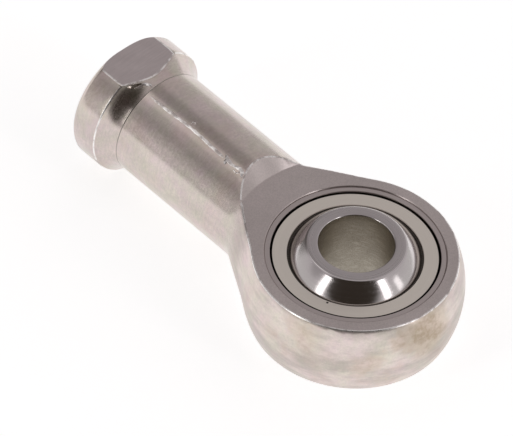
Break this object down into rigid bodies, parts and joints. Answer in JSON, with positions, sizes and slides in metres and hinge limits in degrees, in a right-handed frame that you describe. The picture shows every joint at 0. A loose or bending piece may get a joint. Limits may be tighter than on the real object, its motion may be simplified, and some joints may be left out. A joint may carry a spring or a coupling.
{
  "type": "rod end bearing",
  "caption": "Rod end with a female thread: a polished ball with a through bore swivels in a lined race, pressed into the round eye of a turned shank with a flatted collar.",
  "frame": {"origin": "centre of the ball, on the axis of its bore", "axes": "+Z along the ball's bore, square to the eye's milled faces; +X from the ball's centre along the shank to its open end"},
  "size_m": [0.0477, 0.0234, 0.013],
  "materials": {
    "housing_steel": "turned and milled stainless steel, satin, with faint heat tints",
    "race_steel": "fine-turned stainless steel, light satin",
    "liner_fabric": "dark woven low-friction liner",
    "ball_steel": "hardened stainless steel, polished on the sphere and ground on the faces"
  },
  "bodies": {
    "housing": {"housing": "housing_steel", "outer_race": "race_steel"},
    "liner": {"liner": "liner_fabric"},
    "ball": {"inner_ring": "ball_steel"}
  },
  "joints": [
    {"name": "ball_turn", "type": "hinge", "parent": "housing", "child": "liner", "pos_m": [0, 0, 0], "axis": [0, 0, 1], "continuous": true},
    {"name": "ball_tilt", "type": "hinge", "parent": "liner", "child": "ball", "pos_m": [0, 0, 0], "axis": [1, 0, 0], "range_deg": [-14, 14]}
  ]
}
